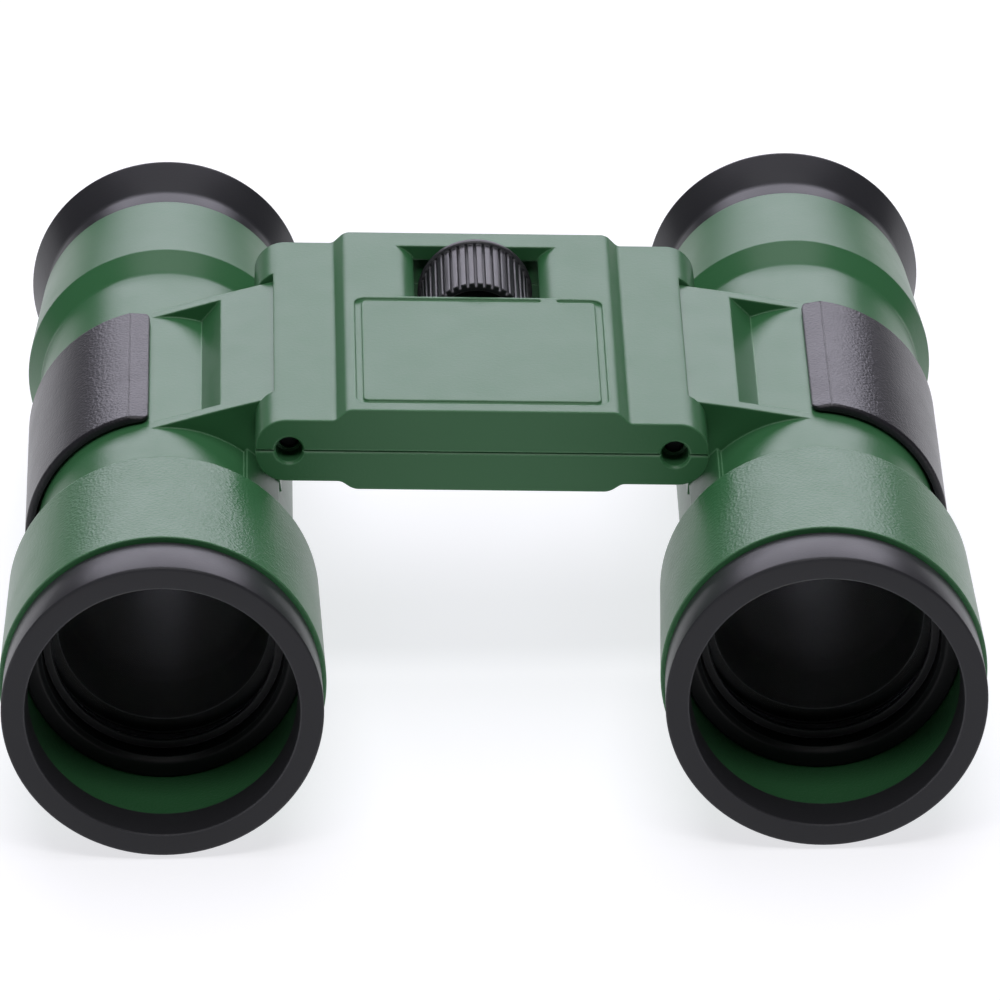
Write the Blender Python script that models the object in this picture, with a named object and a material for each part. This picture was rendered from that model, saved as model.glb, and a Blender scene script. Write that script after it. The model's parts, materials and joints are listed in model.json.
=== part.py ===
"""Compact folding binoculars: two tubes hinged to a hollow central bridge.

The bridge is a clamshell of two green mouldings. Inside it the focus wheel turns a
coarse screw, the screw drives a carriage, and the carriage pushes both objective
cells along their tubes. Optical axes run along Y, objectives at -Y, +Z is up.
"""
import math

import bmesh
import bpy
from mathutils import Matrix, Vector

for old in list(bpy.data.objects):
    bpy.data.objects.remove(old, do_unlink=True)

MM = 0.001

# Clearances between separate pieces, mm
SEAT_GAP = 0.3
RUNNING_GAP = 0.06

# Hinges: axes parallel to Y at x = +-HINGE_X, height 0 of the bridge
HINGE_X = 21.4
PIN_RADIUS = 1.1
PIN_FRONT_Y = 3.2
PIN_REAR_Y = 44.6
PIN_HOLE_RADIUS = 1.5
PIN_HOLE_DEPTH = 3.0
EYE_RADIUS = 2.9

# Fold of each tube below the flat position, degrees
LEFT_FOLD = 15.65
RIGHT_FOLD = 7.58

# Bridge shell, mm
BRIDGE_LENGTH = 47.0
KNUCKLE_RADIUS = 3.75
PLATEAU_HALF_WIDTH = 14.95
SLOPE_HALF_WIDTH = 16.3
PLATEAU_TOP = 5.12
UNDERSIDE_HALF_WIDTH = 14.2
UNDERSIDE_SLOPE_HALF_WIDTH = 15.6
UNDERSIDE_DEPTH = 4.7
PARTING_HALF_GAP = 0.12
EDGE_EASE = 0.4
WALL_Y = 2.6
COVER_REACH = 1.7
COVER_UNDERSIDE = 3.05

# Lugs that carry the tubes, mm, in the hinge's own frame (u outboard, w up)
LUG_FRONT_Y = 8.3
LUG_REAR_Y = 38.8
LUG_WEB = 1.5
TUBE_U = 17.43
WAIST_RADIUS = 14.4
TUBE_W = EYE_RADIUS - WAIST_RADIUS

# Tube, mm
BORE_RADIUS = 12.9
FRONT_BORE_RADIUS = 15.8
RIM_Y = -26.2
RIM_RADIUS = 17.9
SPIGOT_Y = -28.3
SPIGOT_RADIUS = 16.5
FRONT_STEP_Y = -4.7
FRONT_STEP_RADIUS = 17.2
REAR_STEP_Y = 49.2
REAR_STEP_LENGTH = 3.1
REAR_STEP_RADIUS = 15.95
TUBE_END_Y = 68.4
TUBE_END_RADIUS = 14.65
ARM_SLOT_FRONT_Y = 17.3
ARM_SLOT_REAR_Y = 29.7

# Objective bezel and eyecup, mm
BEZEL_FACE_Y = -33.2
BEZEL_RADIUS = 17.6
BEZEL_OPENING_RADIUS = 15.0
EYECUP_NECK_Y = 72.2
EYECUP_NECK_RADIUS = 14.1
EYECUP_LIP_Y = 77.2
EYECUP_LIP_RADIUS = 15.95

# Objective cell, mm
CELL_FACE_Y = -18.2
CELL_TUBE_RADIUS = 12.7
CELL_TUBE_END_Y = 26.5
LENS_RADIUS = 13.1
ARM_Y = 23.5
ARM_WIDTH = 4.0

# Focus wheel and screw, mm
WHEEL_RADIUS = 6.6
WHEEL_FRONT_Y = 31.2
WHEEL_REAR_Y = 42.3
WHEEL_RIDGES = 40
SCREW_RADIUS = 1.45
JOURNAL_RADIUS = 1.2
THREAD_HEIGHT = 0.35
THREAD_LEAD = 4.0
THREAD_STARTS = 2
SLOT_HALF_WIDTH = 7.1
SLOT_FRONT_Y = 29.7
SLOT_REAR_Y = 43.4

# Shell screws, mm: x, y
SHELL_SCREWS = ((-11.0, 7.0), (11.0, 7.0), (-12.0, 38.0), (12.0, 38.0))

ROUND = 28
SMALL_ROUND = 20
PIN_ROUND = 12
SCREW_ROUND = 10


def material(name, colour, roughness, metallic=0.0):
    made = bpy.data.materials.new(name)
    made.use_nodes = True
    shader = made.node_tree.nodes["Principled BSDF"]
    shader.inputs["Base Color"].default_value = (*colour, 1.0)
    shader.inputs["Roughness"].default_value = roughness
    shader.inputs["Metallic"].default_value = metallic
    return made


GREEN = material("green_abs", (0.075, 0.160, 0.088), 0.42)
BLACK = material("black_abs", (0.020, 0.020, 0.024), 0.38)
RUBBER = material("black_soft_grip", (0.024, 0.023, 0.028), 0.50)
GLASS = material("clear_lens", (0.90, 0.93, 0.93), 0.03)
STEEL = material("zinc_plated_steel", (0.62, 0.62, 0.60), 0.30, 1.0)
ACETAL = material("white_acetal", (0.78, 0.78, 0.75), 0.45)


def finish(name, shape, surface, parent, place=(0.0, 0.0, 0.0), smooth=True):
    """Turn a bmesh drawn in millimetres into a named object in metres."""
    bmesh.ops.scale(shape, vec=(MM, MM, MM), verts=shape.verts)
    bmesh.ops.recalc_face_normals(shape, faces=shape.faces)
    mesh = bpy.data.meshes.new(name)
    shape.to_mesh(mesh)
    shape.free()
    obj = bpy.data.objects.new(name, mesh)
    obj.location = [value * MM for value in place]
    obj.parent = parent
    obj.data.materials.append(surface)
    bpy.context.collection.objects.link(obj)
    if smooth:
        mesh.shade_smooth()
        mesh.set_sharp_from_angle(angle=math.radians(35))
    return obj


def lathe(outline, segments):
    """Closed (y, radius) outline turned about the Y axis; radius 0 closes on the axis."""
    shape = bmesh.new()
    rings = []
    for y, radius in outline:
        if radius == 0.0:
            rings.append([shape.verts.new((0.0, y, 0.0))] * segments)
            continue
        ring = []
        for step in range(segments):
            angle = 2.0 * math.pi * step / segments
            ring.append(shape.verts.new((radius * math.sin(angle), y, radius * math.cos(angle))))
        rings.append(ring)
    for index in range(len(rings)):
        here = rings[index]
        after = rings[(index + 1) % len(rings)]
        for step in range(segments):
            turn = (step + 1) % segments
            corners = []
            for vert in (here[step], here[turn], after[turn], after[step]):
                if vert not in corners:
                    corners.append(vert)
            if len(corners) > 2:
                shape.faces.new(corners)
    return shape


def prism(outline, start, end, axis="Y"):
    """Closed polygon drawn in XZ (or XY for axis Z) and extruded along the axis."""
    shape = bmesh.new()
    ends = []
    for level in (start, end):
        if axis == "Y":
            ends.append([shape.verts.new((a, level, b)) for a, b in outline])
        else:
            ends.append([shape.verts.new((a, b, level)) for a, b in outline])
    shape.faces.new(ends[0])
    shape.faces.new(reversed(ends[1]))
    count = len(outline)
    for index in range(count):
        after = (index + 1) % count
        shape.faces.new((ends[0][index], ends[0][after], ends[1][after], ends[1][index]))
    return shape


def stand_up(shape, place):
    """Turn a lathed shape from the Y axis onto the Z axis and move it into place."""
    bmesh.ops.rotate(shape, matrix=Matrix.Rotation(math.radians(90), 3, "X"), verts=shape.verts)
    bmesh.ops.translate(shape, vec=place, verts=shape.verts)
    return shape


def cuboid(low, high):
    outline = ((low[0], low[2]), (high[0], low[2]), (high[0], high[2]), (low[0], high[2]))
    return prism(outline, low[1], high[1])


def upright_rod(x, y, radius, low, high, segments):
    outline = arc(x, y, radius, 0.0, 360.0, segments)[:-1]
    return prism(outline, low, high, axis="Z")


def arc(centre_a, centre_b, radius, start, end, steps):
    points = []
    for step in range(steps + 1):
        angle = math.radians(start + (end - start) * step / steps)
        points.append((centre_a + radius * math.cos(angle), centre_b + radius * math.sin(angle)))
    return points


def mirrored(outline, side):
    return [(side * a, b) for a, b in outline]


def combine(target, shape, operation):
    """Boolean a millimetre bmesh, drawn in the target's parent frame, into the target."""
    tool = finish("tool", shape, target.data.materials[0], target.parent, smooth=False)
    change = target.modifiers.new("shape", "BOOLEAN")
    change.operation = operation
    change.solver = "EXACT"
    change.object = tool
    bpy.context.view_layer.update()
    with bpy.context.temp_override(object=target, active_object=target, selected_objects=[target]):
        bpy.ops.object.modifier_apply(modifier=change.name)
    bpy.data.objects.remove(tool, do_unlink=True)


def cut(target, shape):
    combine(target, shape, "DIFFERENCE")


def add(target, shape):
    combine(target, shape, "UNION")


def tidy(obj):
    """Drop the hair-thin faces booleans can leave, then shade the round areas."""
    shape = bmesh.new()
    shape.from_mesh(obj.data)
    bmesh.ops.remove_doubles(shape, verts=shape.verts, dist=0.00001)
    bmesh.ops.dissolve_degenerate(shape, edges=shape.edges, dist=0.000005)
    shape.to_mesh(obj.data)
    shape.free()
    obj.data.shade_smooth()
    obj.data.set_sharp_from_angle(angle=math.radians(35))


# --- The stand frame: how the folded binoculars sit level on a table -----------------
# Unequal folds put the tubes at different heights below the bridge, so the whole
# object leans about Y until both front rims touch the table.

def tube_centre(side, fold):
    angle = math.radians(fold)
    across = TUBE_U * math.cos(angle) + TUBE_W * math.sin(angle)
    height = TUBE_W * math.cos(angle) - TUBE_U * math.sin(angle)
    return side * (HINGE_X + across), height


left_x, left_z = tube_centre(-1, LEFT_FOLD)
right_x, right_z = tube_centre(1, RIGHT_FOLD)
lean = math.atan2(right_z - left_z, right_x - left_x)
mid_x = (left_x + right_x) / 2.0
mid_z = (left_z + right_z) / 2.0

stand = bpy.data.objects.new("stand", None)
stand.rotation_euler = (0.0, lean, 0.0)
stand.location = (
    -(mid_x * math.cos(lean) + mid_z * math.sin(lean)) * MM,
    -(BEZEL_FACE_Y + EYECUP_LIP_Y) / 2.0 * MM,
    (RIM_RADIUS - (mid_z * math.cos(lean) - mid_x * math.sin(lean))) * MM,
)
bpy.context.collection.objects.link(stand)


# --- Bridge shells --------------------------------------------------------------------
# Clamshell with a round knuckle at each end, split at the height of the hinge axes.

def shell_outline(sign, plateau_half, slope_half, height):
    """One half of the bridge's front view; sign +1 upper, -1 lower."""
    start = math.degrees(math.asin(PARTING_HALF_GAP / KNUCKLE_RADIUS))
    side_arc = arc(HINGE_X, 0.0, KNUCKLE_RADIUS, start, 90.0, 7)
    right = side_arc + [(slope_half, KNUCKLE_RADIUS), (plateau_half, height)]
    left = [(-a, b) for a, b in reversed(right)]
    return [(a, sign * b) for a, b in right + left]


def eased_prism(outline, length, ease):
    """Extrusion along Y whose front and rear outlines are drawn in by a small chamfer."""
    shape = prism(outline, 0.0, length)
    rims = []
    for edge in shape.edges:
        first, second = edge.verts
        same_end = abs(first.co.y - second.co.y) < 1e-6
        on_parting = abs(first.co.z) < 0.2 and abs(second.co.z) < 0.2
        if same_end and not on_parting:
            rims.append(edge)
    bmesh.ops.bevel(shape, geom=rims, offset=ease, segments=1, affect="EDGES", clamp_overlap=True)
    return shape


def lug_pocket(side, sign):
    """Space for a lug: round the eye inboard, under the cover lip, open outboard."""
    reach = HINGE_X + KNUCKLE_RADIUS + 1.0
    seam = -sign * 0.5
    if sign > 0:
        corner = arc(HINGE_X, 0.0, COVER_UNDERSIDE, 180.0, 90.0, 8)
        edge = HINGE_X + COVER_REACH
        tail = [(edge, COVER_UNDERSIDE), (edge, 6.0), (reach, 6.0)]
    else:
        corner = arc(HINGE_X, 0.0, COVER_UNDERSIDE, 180.0, 250.0, 6)
        tail = [(corner[-1][0], -6.0), (reach, -6.0)]
    outline = [(corner[0][0], seam)] + corner + tail + [(reach, seam)]
    low = LUG_FRONT_Y - SEAT_GAP
    high = LUG_REAR_Y + SEAT_GAP
    return prism(mirrored(outline, side), low, high)


def cavity():
    """Hollow inside both shells, for the carriage, the screw and the wheel."""
    half = [(17.0, 2.3), (15.2, 2.3), (13.8, 3.35)]
    upper = half + [(-a, b) for a, b in reversed(half)]
    half = [(-17.0, -2.3), (-15.2, -2.3), (-13.8, -3.05)]
    lower = half + [(-a, b) for a, b in reversed(half)]
    return prism(upper + lower, WALL_Y, BRIDGE_LENGTH - WALL_Y)


def pin_bores(target, side):
    place = (side * HINGE_X, 0.0, 0.0)
    shaft = PIN_RADIUS + RUNNING_GAP
    hole = PIN_HOLE_RADIUS
    depth = PIN_HOLE_DEPTH
    blind_end = PIN_REAR_Y + SEAT_GAP
    outline = ((-1.0, 0.0), (-1.0, hole), (depth, hole), (depth, shaft), (blind_end, shaft), (blind_end, 0.0))
    bore = lathe(outline, PIN_ROUND)
    bmesh.ops.translate(bore, vec=place, verts=bore.verts)
    cut(target, bore)


def journal_seats(target):
    radius = JOURNAL_RADIUS + RUNNING_GAP
    front = lathe(((0.9, 0.0), (0.9, radius), (3.0, radius), (3.0, 0.0)), PIN_ROUND)
    rear = lathe(((44.0, 0.0), (44.0, radius), (46.2, radius), (46.2, 0.0)), PIN_ROUND)
    cut(target, front)
    cut(target, rear)


def fork_windows(target):
    for side in (-1, 1):
        low = min(side * 16.0, side * 20.0)
        high = max(side * 16.0, side * 20.0)
        cut(target, cuboid((low, ARM_SLOT_FRONT_Y, -2.4), (high, ARM_SLOT_REAR_Y, 2.4)))


def panel_groove():
    """Rounded rectangle line in the top face, left open for a short stretch at the rear."""
    depth = 0.3
    width = 0.65
    half = 13.9
    front = 1.9
    rear = 29.3
    gap_start = 7.1
    gap_end = 8.9

    def loop(inset, corner):
        edge = half - inset
        back = rear - inset
        near = front + inset
        points = [(gap_end, back)]
        points += arc(edge - corner, back - corner, corner, 90.0, 0.0, 3)
        points += arc(edge - corner, near + corner, corner, 0.0, -90.0, 3)
        points += arc(-edge + corner, near + corner, corner, -90.0, -180.0, 3)
        points += arc(-edge + corner, back - corner, corner, 180.0, 90.0, 3)
        points.append((gap_start, back))
        return points

    outer = loop(0.0, 1.2)
    inner = loop(width, 0.6)
    return prism(outer + inner[::-1], PLATEAU_TOP - depth, PLATEAU_TOP + 1.0, axis="Z")


def wheel_scoop():
    """Thumb opening in the upper shell, flaring outward to the plateau on both sides."""
    flare = [(9.3, PLATEAU_TOP + 0.3), (9.15, PLATEAU_TOP), (8.2, 4.65), (7.45, 4.05)]
    right = flare + [(SLOT_HALF_WIDTH, 3.5), (SLOT_HALF_WIDTH, 2.0)]
    left = [(-a, b) for a, b in reversed(right)]
    return prism(right + left, SLOT_FRONT_Y, SLOT_REAR_Y)


topside = shell_outline(1, PLATEAU_HALF_WIDTH, SLOPE_HALF_WIDTH, PLATEAU_TOP)
upper = finish("bridge_upper_shell", eased_prism(topside, BRIDGE_LENGTH, EDGE_EASE), GREEN, stand)
underside = shell_outline(-1, UNDERSIDE_HALF_WIDTH, UNDERSIDE_SLOPE_HALF_WIDTH, UNDERSIDE_DEPTH)
lower = finish("bridge_lower_shell", eased_prism(underside, BRIDGE_LENGTH, EDGE_EASE), GREEN, stand)
for shell, sign in ((upper, 1), (lower, -1)):
    cut(shell, cavity())
    fork_windows(shell)
    for side in (-1, 1):
        cut(shell, lug_pocket(side, sign))
        pin_bores(shell, side)
    journal_seats(shell)

cut(upper, wheel_scoop())
cut(upper, panel_groove())
slot_low = (-SLOT_HALF_WIDTH, SLOT_FRONT_Y, -6.0)
slot_high = (SLOT_HALF_WIDTH, SLOT_REAR_Y, -2.0)
cut(lower, cuboid(slot_low, slot_high))

for x, y in SHELL_SCREWS:
    add(upper, upright_rod(x, y, 2.2, PARTING_HALF_GAP, 4.0, PIN_ROUND))
    cut(upper, upright_rod(x, y, 0.8, -1.0, 3.0, PIN_ROUND))
    add(lower, upright_rod(x, y, 2.5, -4.0, -PARTING_HALF_GAP, PIN_ROUND))
    stepped = lathe(((-6.0, 0.0), (-6.0, 2.0), (-2.9, 2.0), (-2.9, 1.0), (1.0, 1.0), (1.0, 0.0)), PIN_ROUND)
    cut(lower, stand_up(stepped, (x, y, 0.0)))
tidy(upper)
tidy(lower)

# Self-tapping screws that hold the clamshell together from below.
for number, (x, y) in enumerate(SHELL_SCREWS, start=1):
    outline = ((0.0, 0.0), (0.0, 1.6), (1.1, 1.6), (1.1, 0.72), (6.4, 0.72), (7.0, 0.0))
    body = stand_up(lathe(outline, SCREW_ROUND), (0.0, 0.0, 0.0))
    screw = finish("shell_screw_%d" % number, body, STEEL, stand, (x, y, -4.4))
    for wide, long in ((0.22, 0.95), (0.95, 0.22)):
        cut(screw, cuboid((x - wide, y - long, -5.0), (x + wide, y + long, -3.9)))
    tidy(screw)

# Steel hinge pins, pressed in from the front and set back in their holes.
for side, word in ((-1, "left"), (1, "right")):
    tip = PIN_RADIUS - 0.25
    outline = (
        (PIN_FRONT_Y, 0.0),
        (PIN_FRONT_Y, tip),
        (PIN_FRONT_Y + 0.25, PIN_RADIUS),
        (PIN_REAR_Y - 0.25, PIN_RADIUS),
        (PIN_REAR_Y, tip),
        (PIN_REAR_Y, 0.0),
    )
    finish("hinge_pin_" + word, lathe(outline, PIN_ROUND), STEEL, stand, (side * HINGE_X, 0.0, 0.0))


# --- Focus drive ----------------------------------------------------------------------
# Knurled thumb wheel on a coarse two-start screw that runs in both end walls.

def ridged_wheel():
    """Hollow-faced wheel; each ridge is a flat top with a square groove beside it."""
    shape = bmesh.new()
    deep = WHEEL_RADIUS - 0.45
    pitch = 2.0 * math.pi / WHEEL_RIDGES
    rim = []
    for ridge in range(WHEEL_RIDGES):
        for turn, radius in ((0.0, WHEEL_RADIUS), (0.56, WHEEL_RADIUS), (0.64, deep), (0.92, deep)):
            rim.append((ridge + turn, radius))
    bore = JOURNAL_RADIUS + 0.03
    rows = (
        (WHEEL_FRONT_Y, None, 0.0),
        (WHEEL_REAR_Y, None, 0.0),
        (WHEEL_REAR_Y, 5.3, 1.0),
        (WHEEL_REAR_Y - 1.2, 5.3, 1.0),
        (WHEEL_REAR_Y - 1.2, bore, 1.0),
        (WHEEL_FRONT_Y + 3.2, bore, 1.0),
        (WHEEL_FRONT_Y + 3.2, 5.3, 1.0),
        (WHEEL_FRONT_Y, 5.3, 1.0),
    )
    rings = []
    for y, fixed, plain in rows:
        ring = []
        if plain:
            for step in range(WHEEL_RIDGES):
                angle = pitch * (step + 0.28)
                ring.append(shape.verts.new((fixed * math.sin(angle), y, fixed * math.cos(angle))))
        else:
            for turn, radius in rim:
                angle = pitch * turn
                ring.append(shape.verts.new((radius * math.sin(angle), y, radius * math.cos(angle))))
        rings.append(ring)
    for index in range(len(rings)):
        here = rings[index]
        after = rings[(index + 1) % len(rings)]
        if len(here) == len(after):
            for step in range(len(here)):
                turn = (step + 1) % len(here)
                shape.faces.new((here[step], here[turn], after[turn], after[step]))
            continue
        many, few = (here, after) if len(here) > len(after) else (after, here)
        for step in range(len(few)):
            turn = (step + 1) % len(few)
            ridge = [many[(4 * step + corner) % len(many)] for corner in range(1, 6)]
            shape.faces.new([few[step]] + ridge + [few[turn]])
    return shape


def threaded_rod():
    """Screw with plain journals; the thread is a radius wave that winds with the lead."""
    shape = bmesh.new()
    start = 5.0
    end = 29.4
    steps = 36
    segments = 10
    rings = []

    def ring_at(y, radius):
        ring = []
        for step in range(segments):
            angle = 2.0 * math.pi * step / segments
            ring.append(shape.verts.new((radius * math.sin(angle), y, radius * math.cos(angle))))
        return ring

    rings.append(ring_at(1.2, JOURNAL_RADIUS))
    rings.append(ring_at(2.9, JOURNAL_RADIUS))
    rings.append(ring_at(2.9, SCREW_RADIUS))
    for row in range(steps + 1):
        y = start + (end - start) * row / steps
        fade = min(1.0, (y - start) / 1.0, (end - y) / 1.0)
        ring = []
        for step in range(segments):
            angle = 2.0 * math.pi * step / segments
            phase = THREAD_STARTS * (y / THREAD_LEAD - step / segments)
            wave = 0.5 - 0.5 * math.cos(2.0 * math.pi * phase)
            radius = SCREW_RADIUS + THREAD_HEIGHT * wave * fade
            ring.append(shape.verts.new((radius * math.sin(angle), y, radius * math.cos(angle))))
        rings.append(ring)
    rings.append(ring_at(WHEEL_FRONT_Y + 2.9, SCREW_RADIUS))
    rings.append(ring_at(WHEEL_FRONT_Y + 2.9, JOURNAL_RADIUS))
    rings.append(ring_at(45.9, JOURNAL_RADIUS))
    shape.faces.new(rings[0])
    shape.faces.new(reversed(rings[-1]))
    for here, after in zip(rings, rings[1:]):
        for step in range(segments):
            turn = (step + 1) % segments
            shape.faces.new((here[step], here[turn], after[turn], after[step]))
    return shape


finish("focus_wheel", ridged_wheel(), BLACK, stand)
finish("focus_screw", threaded_rod(), STEEL, stand)


def carriage_shape():
    """Nut block on the screw with a flat arm to each hinge, ending in a fork."""
    reach = HINGE_X - 0.3
    notch = 1.5
    prong = 2.1
    block = 3.0
    half_angle = math.degrees(math.acos(0.3 / notch))
    fork = arc(HINGE_X, 0.0, notch, 180.0 + half_angle, 180.0 - half_angle, 6)
    right = [(16.2, -0.9), (17.4, -prong), (reach, -prong)]
    right += fork
    right += [(reach, prong), (17.4, prong), (16.2, 0.9)]
    right = [(block, -0.9)] + right + [(block, 0.9)]
    left = [(-a, -b) for a, b in right]
    outline = right + [(block, 2.6), (-block, 2.6)] + left + [(-block, -2.6), (block, -2.6)]
    return prism(outline, ARM_Y - 0.6, ARM_Y + 0.6)


carriage = finish("focus_carriage", carriage_shape(), ACETAL, stand)
add(carriage, cuboid((-3.0, ARM_Y - 3.5, -2.6), (3.0, ARM_Y + 3.0, 2.6)))
nut_bore = SCREW_RADIUS + THREAD_HEIGHT + RUNNING_GAP
cut(carriage, lathe(((10.0, 0.0), (10.0, nut_bore), (40.0, nut_bore), (40.0, 0.0)), PIN_ROUND))
tidy(carriage)


# --- Tubes ----------------------------------------------------------------------------
# Each green tube is turned, with a lug moulded on its inboard side.

def barrel_frame(side):
    """Empty on one hinge axis, turned by that tube's fold."""
    fold = LEFT_FOLD if side < 0 else RIGHT_FOLD
    frame = bpy.data.objects.new("left_hinge" if side < 0 else "right_hinge", None)
    frame.location = (side * HINGE_X * MM, 0.0, 0.0)
    frame.rotation_euler = (0.0, side * math.radians(fold), 0.0)
    frame.parent = stand
    bpy.context.collection.objects.link(frame)
    return frame


def tube_profile():
    return (
        (SPIGOT_Y, FRONT_BORE_RADIUS),
        (SPIGOT_Y, SPIGOT_RADIUS),
        (RIM_Y, SPIGOT_RADIUS),
        (RIM_Y, RIM_RADIUS - 0.35),
        (RIM_Y + 0.35, RIM_RADIUS),
        (FRONT_STEP_Y - 0.3, FRONT_STEP_RADIUS),
        (FRONT_STEP_Y, FRONT_STEP_RADIUS - 0.3),
        (FRONT_STEP_Y, WAIST_RADIUS + 0.6),
        (FRONT_STEP_Y + 0.6, WAIST_RADIUS),
        (REAR_STEP_Y, WAIST_RADIUS),
        (REAR_STEP_Y + REAR_STEP_LENGTH, REAR_STEP_RADIUS),
        (TUBE_END_Y - 0.3, TUBE_END_RADIUS),
        (TUBE_END_Y, TUBE_END_RADIUS - 0.3),
        (TUBE_END_Y, BORE_RADIUS),
        (-6.9, BORE_RADIUS),
        (-6.9, FRONT_BORE_RADIUS),
    )


def lug_block(side):
    """Eye, flat top and inner wall of the lug, ending inside the tube's wall."""
    inside = WAIST_RADIUS - 0.8
    outline = [(0.0, EYE_RADIUS)]
    outline += arc(0.0, 0.0, EYE_RADIUS, 90.0, 280.0, 11)[1:]
    outline += [(2.1, -3.0), (2.6, -4.2), (3.1, -8.6)]
    outline += arc(TUBE_U, TUBE_W, inside, 167.0, 123.0, 6)
    outline += [(9.8, 0.9), (7.1, EYE_RADIUS)]
    return prism(mirrored(outline, side), LUG_FRONT_Y, LUG_REAR_Y)


def lug_web(side, start):
    """Thin end wall that carries the flat top out to the crown of the tube."""
    inside = WAIST_RADIUS - 0.8
    outline = [(6.0, EYE_RADIUS), (6.0, 0.0)]
    outline += arc(TUBE_U, TUBE_W, inside, 135.0, 93.0, 7)
    outline += [(15.3, 2.72), (7.1, EYE_RADIUS)]
    return prism(mirrored(outline, side), start, start + LUG_WEB)


def flank_rib(side):
    """Shallow raised strip on the inner flank, between the lug and the front step."""
    outer = arc(TUBE_U, TUBE_W, WAIST_RADIUS + 0.55, 143.0, 164.0, 3)
    inner = arc(TUBE_U, TUBE_W, WAIST_RADIUS - 0.8, 164.0, 143.0, 3)
    return prism(mirrored(outer + inner, side), FRONT_STEP_Y - 0.5, LUG_FRONT_Y + 1.0)


def ring_pocket(side):
    """Round room for the arm's ring in the middle of the eye, open toward the bridge."""
    outline = [(0.3, 4.0), (0.3, 2.3)]
    outline += arc(0.0, 0.0, 2.35, 82.0, 0.0, 7)
    outline += [(2.35, -3.6), (-4.0, -3.6), (-4.0, 4.0)]
    return prism(mirrored(outline, side), ARM_SLOT_FRONT_Y - 1.0, ARM_SLOT_REAR_Y + 1.0)


ARM_ANGLE = math.atan2(TUBE_W, TUBE_U)


def along_arm(near, far, half_thickness, side):
    """Box outline whose long side runs from the hinge toward the tube's axis."""
    run = Vector((math.cos(ARM_ANGLE), math.sin(ARM_ANGLE)))
    across = Vector((-run.y, run.x)) * half_thickness
    corners = (run * near - across, run * far - across, run * far + across, run * near + across)
    return mirrored([(corner.x, corner.y) for corner in corners], side)


def pad_outline(side):
    """Grip pad's section: a curved strip whose two ends are chamfered."""
    inner_radius = WAIST_RADIUS + 0.35
    outer_radius = WAIST_RADIUS + 1.25
    low_angle = -82.0
    high_angle = 98.0
    outer = arc(TUBE_U, TUBE_W, outer_radius, low_angle + 8.0, high_angle - 8.0, 14)
    inner = arc(TUBE_U, TUBE_W, inner_radius, high_angle, low_angle, 20)
    tips = arc(TUBE_U, TUBE_W, inner_radius + 0.3, high_angle, low_angle, 1)
    return mirrored(outer + [tips[0]] + inner + [tips[1]], side)


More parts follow.
